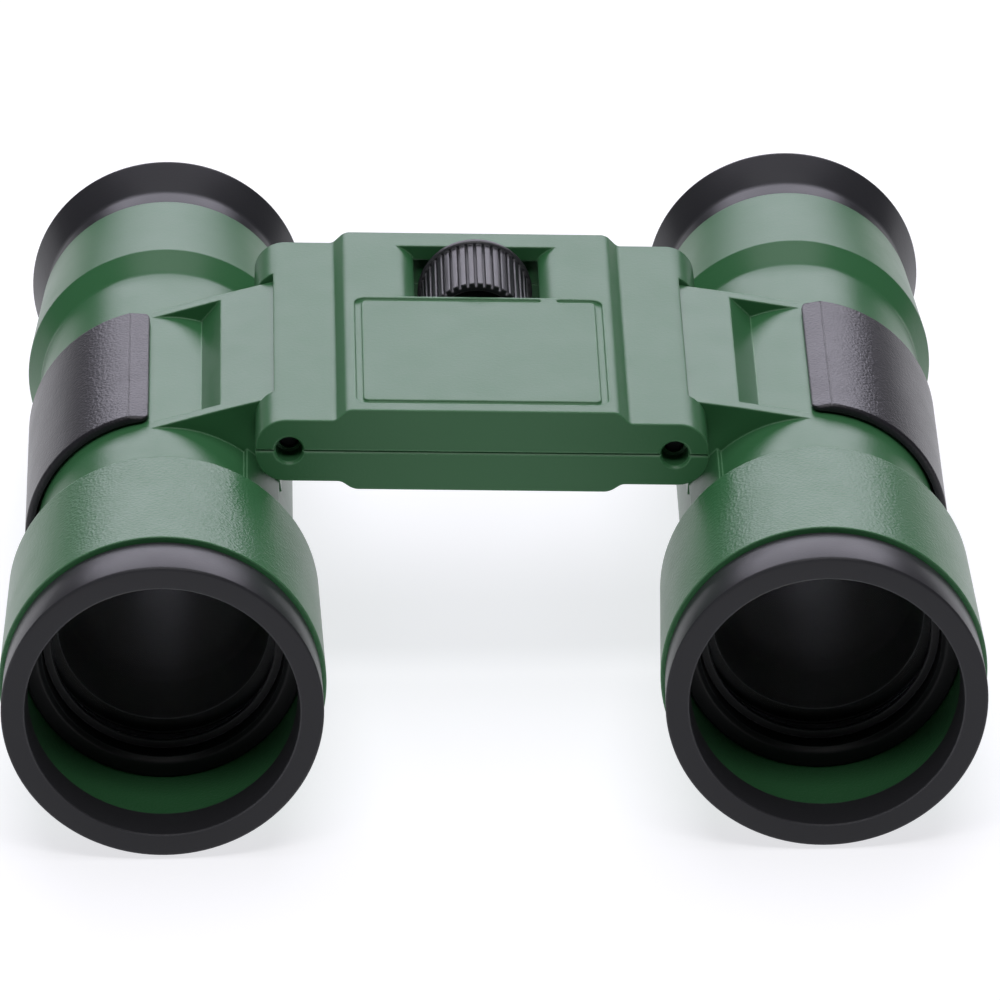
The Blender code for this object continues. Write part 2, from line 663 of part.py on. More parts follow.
for side, word in ((-1, "left"), (1, "right")):
    hinge = barrel_frame(side)
    axis = (side * TUBE_U, 0.0, TUBE_W)

    tube = finish("barrel_" + word, lathe(tube_profile(), ROUND), GREEN, hinge, axis)
    add(tube, lug_block(side))
    add(tube, lug_web(side, LUG_FRONT_Y))
    add(tube, lug_web(side, LUG_REAR_Y - LUG_WEB))
    add(tube, flank_rib(side))
    eye_bore = PIN_RADIUS + RUNNING_GAP
    cut(tube, lathe(((0.0, 0.0), (0.0, eye_bore), (46.0, eye_bore), (46.0, 0.0)), PIN_ROUND))
    cut(tube, ring_pocket(side))
    cut(tube, prism(along_arm(0.5, 9.0, 1.4, side), ARM_SLOT_FRONT_Y, ARM_SLOT_REAR_Y))
    tidy(tube)

    pad = prism(pad_outline(side), LUG_FRONT_Y + 1.3, LUG_REAR_Y - 1.6)
    finish("grip_pad_" + word, pad, RUBBER, hinge)

    # Objective bezel: a black cap over the tube's front spigot.
    bezel = (
        (RIM_Y - 0.25, SPIGOT_RADIUS + 0.1),
        (RIM_Y - 0.25, BEZEL_RADIUS - 0.25),
        (BEZEL_FACE_Y + 1.1, BEZEL_RADIUS),
        (BEZEL_FACE_Y + 0.35, BEZEL_RADIUS - 0.3),
        (BEZEL_FACE_Y, BEZEL_RADIUS - 1.1),
        (BEZEL_FACE_Y, BEZEL_OPENING_RADIUS + 0.6),
        (BEZEL_FACE_Y + 0.6, BEZEL_OPENING_RADIUS),
        (SPIGOT_Y - SEAT_GAP, BEZEL_OPENING_RADIUS - 0.3),
        (SPIGOT_Y - SEAT_GAP, SPIGOT_RADIUS + 0.1),
    )
    finish("objective_bezel_" + word, lathe(bezel, ROUND), BLACK, hinge, axis)

    # Objective cell: a flanged black tube that slides in the bore.
    cell = (
        (CELL_FACE_Y, 13.9),
        (CELL_FACE_Y, FRONT_BORE_RADIUS - 0.15),
        (-11.0, FRONT_BORE_RADIUS - 0.15),
        (-11.0, CELL_TUBE_RADIUS),
        (CELL_TUBE_END_Y, CELL_TUBE_RADIUS),
        (CELL_TUBE_END_Y, 11.6),
        (-3.2, 11.0),
        (-11.4, 11.6),
        (-11.4, LENS_RADIUS + 0.3),
        (CELL_FACE_Y + 0.5, LENS_RADIUS + 0.3),
    )
    tube_cell = finish("objective_cell_" + word, lathe(cell, ROUND), BLACK, hinge, axis)
    reach = math.hypot(TUBE_U, TUBE_W)
    foot = reach - CELL_TUBE_RADIUS - 0.1
    peg_half = 0.7
    hole = prism(along_arm(foot - 1.0, reach - 11.0, peg_half + 0.05, side), ARM_Y - 1.25, ARM_Y + 1.25)
    cut(tube_cell, hole)
    tidy(tube_cell)

    # Biconvex objective lens and the ring that keeps it against the cell's shoulder.
    lens = (
        (-15.8, 0.0),
        (-15.62, 4.6),
        (-15.1, 8.8),
        (-14.3, LENS_RADIUS),
        (-12.5, LENS_RADIUS),
        (-11.95, 8.8),
        (-11.65, 4.6),
        (-11.5, 0.0),
    )
    finish("objective_lens_" + word, lathe(lens, ROUND), GLASS, hinge, axis)
    keeper = ((-15.9, 12.35), (-15.9, 13.25), (-14.6, 13.25), (-14.6, 12.75), (-15.3, 12.35))
    finish("lens_retainer_" + word, lathe(keeper, ROUND), BLACK, hinge, axis)

    # Focusing arm: ring on the hinge pin, bar through the lug, peg into the cell.
    bore = PIN_RADIUS + RUNNING_GAP
    spool = (
        (ARM_Y - 2.0, bore),
        (ARM_Y - 2.0, 2.1),
        (ARM_Y - 0.75, 2.1),
        (ARM_Y - 0.75, 1.42),
        (ARM_Y + 0.75, 1.42),
        (ARM_Y + 0.75, 2.1),
        (ARM_Y + 2.0, 2.1),
        (ARM_Y + 2.0, bore),
    )
    arm = finish("focus_arm_" + word, lathe(spool, PIN_ROUND), BLACK, hinge)
    for front in (ARM_Y - ARM_WIDTH / 2.0, ARM_Y + 0.75):
        add(arm, prism(along_arm(1.7, 3.2, 0.8, side), front, front + ARM_WIDTH / 2.0 - 0.75))
    add(arm, prism(along_arm(2.5, foot, 0.8, side), ARM_Y - ARM_WIDTH / 2.0, ARM_Y + ARM_WIDTH / 2.0))
    add(arm, prism(along_arm(foot - 0.5, reach - 11.7, peg_half, side), ARM_Y - 1.2, ARM_Y + 1.2))
    tidy(arm)

    # Eyecup: black, plugged into the rear of the tube, flaring out to a lip.
    cup = (
        (TUBE_END_Y + SEAT_GAP, BORE_RADIUS - 0.1),
        (TUBE_END_Y + SEAT_GAP, EYECUP_NECK_RADIUS + 0.1),
        (EYECUP_NECK_Y, EYECUP_NECK_RADIUS),
        (EYECUP_LIP_Y - 0.3, EYECUP_LIP_RADIUS),
        (EYECUP_LIP_Y, EYECUP_LIP_RADIUS - 0.2),
        (EYECUP_LIP_Y, EYECUP_LIP_RADIUS - 1.2),
        (71.2, 9.0),
        (70.2, 7.6),
        (66.6, 7.6),
        (66.6, 6.4),
        (65.4, 6.4),
        (65.4, 9.2),
        (60.5, 11.6),
        (60.5, BORE_RADIUS - 0.1),
    )
    finish("eyecup_" + word, lathe(cup, ROUND), BLACK, hinge, axis)

    # Plano-concave eyepiece lens and its snap-in keeper ring.
    eye_lens = ((66.9, 0.0), (66.9, 7.4), (69.0, 7.4), (69.0, 6.4), (68.3, 3.6), (68.05, 0.0))
    finish("eyepiece_lens_" + word, lathe(eye_lens, SMALL_ROUND), GLASS, hinge, axis)
    eye_ring = ((69.3, 6.3), (69.3, 7.45), (70.1, 7.45), (70.1, 6.7))
    finish("eyepiece_retainer_" + word, lathe(eye_ring, SMALL_ROUND), BLACK, hinge, axis)
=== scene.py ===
import json
import math

import bpy
from mathutils import Matrix, Vector


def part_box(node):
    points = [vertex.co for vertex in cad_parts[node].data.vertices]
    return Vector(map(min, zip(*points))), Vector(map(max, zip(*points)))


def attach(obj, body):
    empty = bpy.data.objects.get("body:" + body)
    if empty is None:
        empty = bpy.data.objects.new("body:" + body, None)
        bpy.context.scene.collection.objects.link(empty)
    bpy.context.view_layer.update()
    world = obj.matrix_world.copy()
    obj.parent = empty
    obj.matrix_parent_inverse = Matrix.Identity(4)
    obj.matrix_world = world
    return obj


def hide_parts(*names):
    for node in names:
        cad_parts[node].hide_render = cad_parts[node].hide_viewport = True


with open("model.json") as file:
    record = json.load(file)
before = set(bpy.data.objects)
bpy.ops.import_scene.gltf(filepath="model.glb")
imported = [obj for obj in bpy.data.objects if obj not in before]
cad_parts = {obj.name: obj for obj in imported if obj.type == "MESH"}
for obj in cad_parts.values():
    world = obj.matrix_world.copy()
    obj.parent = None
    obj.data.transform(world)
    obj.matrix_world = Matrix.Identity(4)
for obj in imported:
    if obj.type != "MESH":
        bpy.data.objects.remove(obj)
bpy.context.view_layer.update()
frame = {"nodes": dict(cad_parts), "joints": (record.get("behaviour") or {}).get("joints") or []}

MM = 0.001


# --- Camera, table and lights -----------------------------------------------------------
# A long lens looks down at the objectives from in front. The table is plain and pale, with
# broad soft lights above and behind it and a small weak one high in front.

CAMERA_PLACE = Vector((-0.01932, -1.12417, 0.56693))
CAMERA_RIGHT = Vector((0.999749, -0.021624, -0.005919))
CAMERA_DOWN = Vector((-0.014829, -0.439797, -0.897975))
CAMERA_FORWARD = Vector((0.016815, 0.897837, -0.440008))
LENS_LENGTH = 397.98

camera_data = bpy.data.cameras.new("camera")
camera_data.sensor_width = 36.0
camera_data.lens = LENS_LENGTH
camera_data.clip_start = 0.05
camera_data.clip_end = 50.0
camera = bpy.data.objects.new("camera", camera_data)
camera_turn = Matrix((CAMERA_RIGHT, -CAMERA_DOWN, -CAMERA_FORWARD)).transposed().to_4x4()
camera.matrix_world = Matrix.Translation(CAMERA_PLACE) @ camera_turn
bpy.context.scene.collection.objects.link(camera)
bpy.context.scene.camera = camera

bpy.ops.object.select_all(action="DESELECT")
bpy.ops.mesh.primitive_plane_add(size=6.0, location=(0.0, 0.0, -0.0002))
table = bpy.context.object
table.name = "table"
table_white = bpy.data.materials.new("table_white")
table_white.use_nodes = True
table_shader = table_white.node_tree.nodes["Principled BSDF"]
table_shader.inputs["Base Color"].default_value = (0.42, 0.42, 0.43, 1.0)
table_shader.inputs["Roughness"].default_value = 0.9
table_shader.inputs["Specular IOR Level"].default_value = 0.1
table_shader.inputs["Emission Color"].default_value = (0.97, 0.97, 1.0, 1.0)
table_shader.inputs["Emission Strength"].default_value = 0.74
table.data.materials.append(table_white)

studio = bpy.data.worlds.new("studio")
studio.use_nodes = True
studio.node_tree.nodes["Background"].inputs["Color"].default_value = (0.94, 0.93, 1.0, 1.0)
studio.node_tree.nodes["Background"].inputs["Strength"].default_value = 0.05
bpy.context.scene.world = studio
bpy.context.scene.view_settings.view_transform = "Standard"


def soft_light(name, place, aim, width, depth, power, colour):
    """Rectangular softbox at place, facing aim."""
    data = bpy.data.lights.new(name, "AREA")
    data.shape = "RECTANGLE"
    data.size = width
    data.size_y = depth
    data.energy = power
    data.color = colour
    lamp = bpy.data.objects.new(name, data)
    facing = (Vector(aim) - Vector(place)).to_track_quat("-Z", "Y")
    lamp.matrix_world = Matrix.Translation(place) @ facing.to_matrix().to_4x4()
    bpy.context.scene.collection.objects.link(lamp)


soft_light(
    "softbox_above", place=(0.0, 0.15, 1.1), aim=(0.0, 0.0, 0.0), width=0.9, depth=1.0,
    power=6.5, colour=(0.95, 0.94, 1.0))
soft_light(
    "softbox_behind", place=(0.0, 1.3, 0.66), aim=(0.0, 0.0, 0.02), width=1.3, depth=0.7,
    power=11.4, colour=(0.90, 0.87, 1.0))
soft_light(
    "softbox_front", place=(0.0, -0.50, 1.0), aim=(0.0, 0.0, 0.0), width=0.6, depth=0.22,
    power=3.8, colour=(1.0, 0.99, 1.0))


# --- Bridge shells ----------------------------------------------------------------------
# Two injection-moulded green shells, clipped face to face at the height of the hinge
# axes and screwed from below. Each end is a round knuckle that covers the tube's lug.

BRIDGE_LENGTH = 47.0
HINGE_X = 21.4
KNUCKLE_RADIUS = 3.75
PIN_HOLE_RADIUS = 1.16
LUG_ROOM_RADIUS = 3.05
LUG_ROOM_OUTER = 26.15
LUG_ROOM_FRONT = 8.0
LUG_ROOM_REAR = 39.1
ARM_SLOT_FRONT = 17.3
ARM_SLOT_REAR = 29.7
THUMB_SLOT_FRONT = 29.7
THUMB_SLOT_REAR = 43.4
END_WALL = 2.6
PARTING = 0.03
SMOOTH_ANGLE = 32.0

hinge_left = Vector(next(j["pos_m"] for j in frame["joints"] if j["name"] == "left_fold"))
hinge_right = Vector(next(j["pos_m"] for j in frame["joints"] if j["name"] == "right_fold"))
lean = math.atan2(hinge_left.z - hinge_right.z, hinge_right.x - hinge_left.x)
bridge_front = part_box("bridge_upper_shell")[0][1]
bridge_centre = (hinge_left + hinge_right) / 2.0
bridge_place = Matrix.Translation((bridge_centre.x, bridge_front, bridge_centre.z))
bridge_place = bridge_place @ Matrix.Rotation(lean, 4, "Y")


def start_at(name, corner):
    """Begin a drawn outline: one vertex at its first corner, left in edit mode."""
    bpy.ops.object.select_all(action="DESELECT")
    bpy.ops.mesh.primitive_plane_add(size=MM)
    piece = bpy.context.object
    piece.name = name
    piece.data.name = name
    bpy.ops.object.mode_set(mode="EDIT")
    bpy.ops.mesh.select_mode(type="VERT")
    bpy.ops.mesh.merge(type="CENTER")
    bpy.ops.transform.translate(value=[value * MM for value in corner])
    return piece


def draw_outline(name, corners, close=True):
    """Extrude the first vertex from corner to corner, as an outline is drawn by hand."""
    piece = start_at(name, corners[0])
    for before, after in zip(corners, corners[1:]):
        step = [(b - a) * MM for a, b in zip(before, after)]
        bpy.ops.mesh.extrude_vertices_move(TRANSFORM_OT_translate={"value": step})
    if close:
        bpy.ops.mesh.select_all(action="SELECT")
        bpy.ops.mesh.edge_face_add()
    bpy.ops.object.mode_set(mode="OBJECT")
    return piece


def pick(piece, test, kind="VERT"):
    """Select only the vertices, edges or faces whose place, in millimetres, passes the test."""
    mesh = piece.data
    for group in (mesh.vertices, mesh.edges, mesh.polygons):
        for item in group:
            item.select = False
    if kind == "VERT":
        for vert in mesh.vertices:
            vert.select = test(vert.co * 1000.0)
    elif kind == "EDGE":
        for edge in mesh.edges:
            ends = [mesh.vertices[index].co * 1000.0 for index in edge.vertices]
            edge.select = test(*ends)
            for index in edge.vertices:
                mesh.vertices[index].select = mesh.vertices[index].select or edge.select
    else:
        for face in mesh.polygons:
            face.select = test(face.center * 1000.0, face.normal)
            for index in face.vertices:
                mesh.vertices[index].select = mesh.vertices[index].select or face.select
    bpy.ops.object.select_all(action="DESELECT")
    piece.select_set(True)
    bpy.context.view_layer.objects.active = piece
    bpy.ops.object.mode_set(mode="EDIT")
    bpy.ops.mesh.select_mode(type=kind)


def round_corners(piece, corners, reach, segments=5):
    """Ease the outline's corners that lie at the given places."""
    spots = [Vector(corner) for corner in corners]
    pick(piece, lambda co: any((co - spot).length < 0.02 for spot in spots))
    bpy.ops.mesh.bevel(offset=reach * MM, affect="VERTICES", segments=segments)
    bpy.ops.object.mode_set(mode="OBJECT")


def pull(piece, step):
    """Extrude the whole drawn face by a step in millimetres and close the block."""
    pick(piece, lambda centre, normal: True, "FACE")
    move = {"value": [value * MM for value in step]}
    bpy.ops.mesh.extrude_region_move(TRANSFORM_OT_translate=move)
    bpy.ops.mesh.select_all(action="SELECT")
    bpy.ops.mesh.normals_make_consistent(inside=False)
    bpy.ops.object.mode_set(mode="OBJECT")


def ease_edges(piece, test, reach, segments=4):
    """Round or chamfer the edges whose two ends pass the test."""
    pick(piece, test, "EDGE")
    bpy.ops.mesh.bevel(offset=reach * MM, affect="EDGES", segments=segments, clamp_overlap=True)
    bpy.ops.object.mode_set(mode="OBJECT")


def apply_modifier(piece, modifier):
    """Make the piece active and keep the modifier's result as its mesh."""
    bpy.ops.object.select_all(action="DESELECT")
    piece.select_set(True)
    bpy.context.view_layer.objects.active = piece
    bpy.ops.object.modifier_apply(modifier=modifier.name)


def join_or_cut(piece, tool, operation):
    """Add a tool body to the piece or cut it away, and throw the tool body away."""
    change = piece.modifiers.new(operation.lower(), "BOOLEAN")
    change.operation = operation
    change.solver = "MANIFOLD"
    change.object = tool
    apply_modifier(piece, change)
    bpy.data.objects.remove(tool, do_unlink=True)


def soften(piece, width, segments=2, limit=SMOOTH_ANGLE):
    """Ease what is still sharp, then smooth shading up to that angle with flat faces flat."""
    clean = piece.modifiers.new("weld", "WELD")
    clean.merge_threshold = 0.00001
    apply_modifier(piece, clean)
    bevel = piece.modifiers.new("bevel", "BEVEL")
    bevel.limit_method = "ANGLE"
    bevel.angle_limit = math.radians(limit)
    bevel.width = width * MM
    bevel.segments = segments
    bevel.use_clamp_overlap = True
    apply_modifier(piece, bevel)
    bpy.ops.object.shade_smooth_by_angle(angle=math.radians(limit))
    flatten = piece.modifiers.new("flatten", "WEIGHTED_NORMAL")
    flatten.keep_sharp = True
    apply_modifier(piece, flatten)


def put(piece, place):
    """Move a piece drawn in its own frame to its place, and keep that in its mesh."""
    piece.matrix_world = place
    bpy.ops.object.select_all(action="DESELECT")
    piece.select_set(True)
    bpy.context.view_layer.objects.active = piece
    bpy.ops.object.transform_apply(location=True, rotation=True, scale=True)


def bar(name, corners, start, end):
    """Solid with a drawn XZ section, from start to end along Y."""
    piece = draw_outline(name, [(a, start, b) for a, b in corners])
    pull(piece, (0.0, end - start, 0.0))
    return piece


def arc(centre, radius, start, end, steps):
    """Points on part of a circle, angles in degrees from +X toward +Z."""
    angles = [math.radians(start + (end - start) * step / steps) for step in range(steps + 1)]
    return [(centre[0] + radius * math.cos(a), centre[1] + radius * math.sin(a)) for a in angles]


def flip(corners, side):
    """The outline on the right as it is on the given side, -1 for the left."""
    return [(side * a, b) for a, b in corners]


def both_sides(right):
    """An outline's right half followed by its mirrored left half."""
    return right + [(-a, b) for a, b in reversed(right)]


def turned(name, profile, segments=96, centre=(0.0, 0.0), rounds=()):
    """Draw a (y, radius) profile, round the named corners, and spin it about the Y axis."""
    closed = all(radius > 0.0 for y, radius in profile)
    corners = [(0.0, y, radius) for y, radius in profile]
    if closed:
        corners.append(corners[0])
    piece = draw_outline(name, corners, close=False)
    if closed:
        bpy.ops.object.mode_set(mode="EDIT")
        bpy.ops.mesh.select_all(action="SELECT")
        bpy.ops.mesh.remove_doubles(threshold=0.000001)
        bpy.ops.object.mode_set(mode="OBJECT")
    for y, radius, reach in rounds:
        round_corners(piece, [(0.0, y, radius)], reach, 4)
    bpy.ops.object.mode_set(mode="EDIT")
    bpy.ops.mesh.select_all(action="SELECT")
    bpy.ops.mesh.spin(
        steps=segments, angle=2.0 * math.pi, center=(0.0, 0.0, 0.0), axis=(0.0, 1.0, 0.0))
    bpy.ops.mesh.select_all(action="SELECT")
    bpy.ops.mesh.remove_doubles(threshold=0.000002)
    bpy.ops.mesh.normals_make_consistent(inside=False)
    bpy.ops.transform.translate(value=(centre[0] * MM, 0.0, centre[1] * MM))
    bpy.ops.object.mode_set(mode="OBJECT")
    bpy.ops.object.shade_smooth_by_angle(angle=math.radians(SMOOTH_ANGLE))
    return piece


def node(tree, kind, x, y, **values):
    """Add a shader node; keyword values go to its properties or to its sockets."""
    made = tree.nodes.new(kind)
    made.location = (x, y)
    for key, value in values.items():
        if hasattr(made, key):
            setattr(made, key, value)
        else:
            made.inputs[key.replace("_", " ")].default_value = value
    return made


def noise(tree, scale, detail, roughness=0.5):
    """Noise read at the object's own coordinates, in cycles per metre."""
    place = tree.nodes.get("Object place") or node(tree, "ShaderNodeTexCoord", -1400, 0)
    place.name = "Object place"
    made = node(
        tree, "ShaderNodeTexNoise", -1200, 0, Scale=scale, Detail=detail, Roughness=roughness)
    tree.links.new(place.outputs["Object"], made.inputs["Vector"])
    return made


def spread(tree, value, low, high):
    """Map the middle of a noise's range onto low to high."""
    made = node(tree, "ShaderNodeMapRange", -600, 0)
    made.inputs["From Min"].default_value = 0.3
    made.inputs["From Max"].default_value = 0.7
    made.inputs["To Min"].default_value = low
    made.inputs["To Max"].default_value = high
    tree.links.new(value, made.inputs["Value"])
    return made.outputs["Result"]


EDGE_BEVEL_WIDTH = 0.30
COLOUR_DRIFT = 0.03
FINE_GRAIN_SHARE = 0.25


def moulded(name, colour, edge_highlight, roughness, grain_size, grain_height, specular=0.3):
    """Moulded plastic: slight colour drift, spark-eroded grain, uneven gloss, edges painted paler
    as a highlight.
    """
    made = bpy.data.materials.new(name)
    made.use_nodes = True
    tree = made.node_tree
    shader = tree.nodes["Principled BSDF"]
    shader.inputs["Specular IOR Level"].default_value = specular
    drift = node(tree, "ShaderNodeMix", -400, 300, data_type="RGBA")
    drift.inputs["A"].default_value = (*[value * (1.0 - COLOUR_DRIFT) for value in colour], 1.0)
    drift.inputs["B"].default_value = (*[value * (1.0 + COLOUR_DRIFT) for value in colour], 1.0)
    tree.links.new(noise(tree, 60.0, 4.0).outputs["Fac"], drift.inputs["Factor"])
    # Painted highlight: where the bevel normal turns away from the surface normal at a sharp edge,
    # the colour is mixed toward a paler edge colour. The same bevel normal also rounds the edges'
    # shading.
    edge = node(tree, "ShaderNodeBevel", -1400, 500, samples=4, Radius=EDGE_BEVEL_WIDTH * MM)
    geometry = node(tree, "ShaderNodeNewGeometry", -1400, 300)
    turned_by = node(tree, "ShaderNodeVectorMath", -1200, 500, operation="DOT_PRODUCT")
    tree.links.new(edge.outputs["Normal"], turned_by.inputs[0])
    tree.links.new(geometry.outputs["Normal"], turned_by.inputs[1])
    rim = node(tree, "ShaderNodeMapRange", -1000, 500)
    rim.inputs["From Min"].default_value = 0.98
    rim.inputs["From Max"].default_value = 0.86
    tree.links.new(turned_by.outputs["Value"], rim.inputs["Value"])
    # This mix paints the paler edge colour on as a highlight.
    edge_highlight_mix = node(tree, "ShaderNodeMix", -200, 300, data_type="RGBA")
    edge_highlight_mix.inputs["B"].default_value = (*edge_highlight, 1.0)
    tree.links.new(rim.outputs["Result"], edge_highlight_mix.inputs["Factor"])
    tree.links.new(drift.outputs["Result"], edge_highlight_mix.inputs["A"])
    tree.links.new(edge_highlight_mix.outputs["Result"], shader.inputs["Base Color"])
    clouds = noise(tree, 220.0, 5.0, 0.6).outputs["Fac"]
    gloss = spread(tree, clouds, roughness - 0.02, roughness + 0.02)
    tree.links.new(gloss, shader.inputs["Roughness"])
    coarse = noise(tree, 1000.0 / grain_size, 2.0)
    small = noise(tree, 3200.0 / grain_size, 2.0)
    blend = node(tree, "ShaderNodeMix", -500, -300, data_type="FLOAT")
    blend.inputs["Factor"].default_value = FINE_GRAIN_SHARE
    tree.links.new(coarse.outputs["Fac"], blend.inputs["A"])
    tree.links.new(small.outputs["Fac"], blend.inputs["B"])
    bump = node(tree, "ShaderNodeBump", -250, -300, Strength=1.0, Distance=grain_height * MM)
    tree.links.new(edge.outputs["Normal"], bump.inputs["Normal"])
    tree.links.new(blend.outputs["Result"], bump.inputs["Height"])
    tree.links.new(bump.outputs["Normal"], shader.inputs["Normal"])
    return made


GREEN = (0.040, 0.148, 0.058)
# Paler green painted along sharp edges as a highlight.
GREEN_EDGE_HIGHLIGHT = (0.16, 0.35, 0.19)
satin_green = moulded("satin_green", GREEN, GREEN_EDGE_HIGHLIGHT, 0.36, 0.33, 0.016)


def settle(piece, finish, cad_nodes, body):
    """Give a finished piece its finish, hide the CAD nodes it stands for and attach it to its body.
    """
    piece.data.materials.clear()
    piece.data.materials.append(finish)
    for face in piece.data.polygons:
        face.material_index = 0
    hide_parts(*cad_nodes)
    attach(piece, body)


def hollow_cut(shell):
    """Room inside both shells for the screw, carriage and wheel."""
    ceiling = both_sides([(17.0, 2.3), (15.2, 2.3), (13.8, 3.35)])
    floor = both_sides([(17.0, -2.3), (15.2, -2.3), (13.8, -3.05)])[::-1]
    hollow = bar("hollow", ceiling + floor, END_WALL, BRIDGE_LENGTH - END_WALL)
    join_or_cut(shell, hollow, "DIFFERENCE")


def lug_room(shell, side, sign):
    """Space round the lug's eye, under the cover lip on top and open outboard."""
    seam = -sign * 0.5
    if sign > 0:
        corner = arc((HINGE_X, 0.0), LUG_ROOM_RADIUS, 180.0, 90.0, 14)
        lip = HINGE_X + 1.7
        tail = [(lip, LUG_ROOM_RADIUS), (lip, 6.0), (LUG_ROOM_OUTER, 6.0)]
    else:
        corner = arc((HINGE_X, 0.0), LUG_ROOM_RADIUS, 180.0, 250.0, 11)
        tail = [(corner[-1][0], -6.0), (LUG_ROOM_OUTER, -6.0)]
    outline = [(corner[0][0], seam)] + corner + tail + [(LUG_ROOM_OUTER, seam)]
    room = bar("lug_room", flip(outline, side), LUG_ROOM_FRONT, LUG_ROOM_REAR)
    join_or_cut(shell, room, "DIFFERENCE")


def bores(shell):
    """Hinge pin holes, wider at their front, and the seats of the focus screw."""
    steps = (
        (-1.0, 0.0), (-1.0, 2.5), (0.3, 1.5), (3.0, 1.5),
        (3.0, PIN_HOLE_RADIUS), (44.9, PIN_HOLE_RADIUS), (44.9, 0.0),
    )
    for side in (-1, 1):
        join_or_cut(shell, turned("pin_hole", steps, 32, (side * HINGE_X, 0.0)), "DIFFERENCE")
    for start, end in ((0.9, 3.0), (44.0, 46.2)):
        seat = turned("seat", ((start, 0.0), (start, 1.26), (end, 1.26), (end, 0.0)), 24)
        join_or_cut(shell, seat, "DIFFERENCE")


def windows(shell):
    """Openings from the middle to each knuckle, where the carriage's forks reach through."""
    for side in (-1, 1):
        outline = flip([(16.0, -2.4), (20.0, -2.4), (20.0, 2.4), (16.0, 2.4)], side)
        window = bar("window", outline, ARM_SLOT_FRONT, ARM_SLOT_REAR)
        join_or_cut(shell, window, "DIFFERENCE")


def half_shell(name, sign, flat_half, slope_half, height):
    """One shell's outside: section drawn, corners rounded, extruded and its ends eased."""
    outer = HINGE_X + KNUCKLE_RADIUS
    right = [
        (outer, PARTING), (outer, KNUCKLE_RADIUS), (slope_half, KNUCKLE_RADIUS),
        (flat_half, height),
    ]
    outline = [(a, sign * b) for a, b in both_sides(right)]
    shell = draw_outline(name, [(a, 0.0, b) for a, b in outline])
    ends = [(side * outer, 0.0, sign * KNUCKLE_RADIUS) for side in (-1, 1)]
    round_corners(shell, ends, KNUCKLE_RADIUS - 0.32, 18)
    shoulders = [(side * flat_half, 0.0, sign * height) for side in (-1, 1)]
    round_corners(shell, shoulders, 0.55, 5)
    feet = [(side * slope_half, 0.0, sign * KNUCKLE_RADIUS) for side in (-1, 1)]
    round_corners(shell, feet, 0.35, 4)
    pull(shell, (0.0, BRIDGE_LENGTH, 0.0))

    def on_seam(a, b):
        return abs(a.z) < PARTING + 0.01 and abs(b.z) < PARTING + 0.01

    def on_end(a, b):
        return abs(a.y - b.y) < 0.001 and not (abs(a.z) < 0.3 and abs(b.z) < 0.3)

    ease_edges(shell, on_seam, 0.10 if sign > 0 else 0.24, 1)
    ease_edges(shell, on_end, 0.10, 2)
    return shell


upper = half_shell("bridge_upper", 1, 14.95, 16.3, 5.12)
lower = half_shell("bridge_lower", -1, 14.2, 15.6, 4.7)
for shell, sign in ((upper, 1), (lower, -1)):
    hollow_cut(shell)
    windows(shell)
    for side in (-1, 1):
        lug_room(shell, side, sign)
    bores(shell)

# Thumb opening: straight slot through both shells, flared outward to the top face.
flare = [(9.3, 5.42), (9.15, 5.12), (8.2, 4.65), (7.45, 4.05), (7.1, 3.5), (7.1, 2.0)]
scoop = bar("scoop", both_sides(flare), THUMB_SLOT_FRONT, THUMB_SLOT_REAR)
join_or_cut(upper, scoop, "DIFFERENCE")
slot = both_sides([(7.1, -6.0), (7.1, -2.0)])
join_or_cut(lower, bar("slot", slot, THUMB_SLOT_FRONT, THUMB_SLOT_REAR), "DIFFERENCE")

# Engraved line round the name panel, open for a short stretch at the rear.
GROOVE_FLOOR = 4.80
outer_line = [
    (8.9, 29.35), (14.0, 29.35), (14.0, 1.8), (-14.0, 1.8), (-14.0, 29.35), (7.1, 29.35),
]
inner_line = [
    (7.1, 28.5), (-13.15, 28.5), (-13.15, 2.65), (13.15, 2.65), (13.15, 28.5), (8.9, 28.5),
]
groove = draw_outline("groove", [(a, b, GROOVE_FLOOR) for a, b in outer_line + inner_line])
round_corners(groove, [(a, b, GROOVE_FLOOR) for a, b in outer_line[1:5]], 1.4, 8)
round_corners(groove, [(a, b, GROOVE_FLOOR) for a, b in inner_line[1:5]], 0.6, 8)
line_ends = [(a, b, GROOVE_FLOOR) for a in (7.1, 8.9) for b in (28.5, 29.35)]
round_corners(groove, line_ends, 0.38, 4)
pull(groove, (0.0, 0.0, 1.0))
ease_edges(groove, lambda a, b: max(a.z, b.z) < GROOVE_FLOOR + 0.01, 0.22, 2)
join_or_cut(upper, groove, "DIFFERENCE")

# Screw posts under the top and counterbored posts above the bottom.
SHELL_SCREWS = ((-11.0, 7.0), (11.0, 7.0), (-12.0, 38.0), (12.0, 38.0))


def upright(name, x, y, steps, segments=24):
    """Round body on a vertical axis, from (height, radius) steps."""
    body = turned(name, steps, segments)
    upended = Matrix.Rotation(math.radians(90.0), 4, "X")
    put(body, Matrix.Translation((x * MM, y * MM, 0.0)) @ upended)
    return body


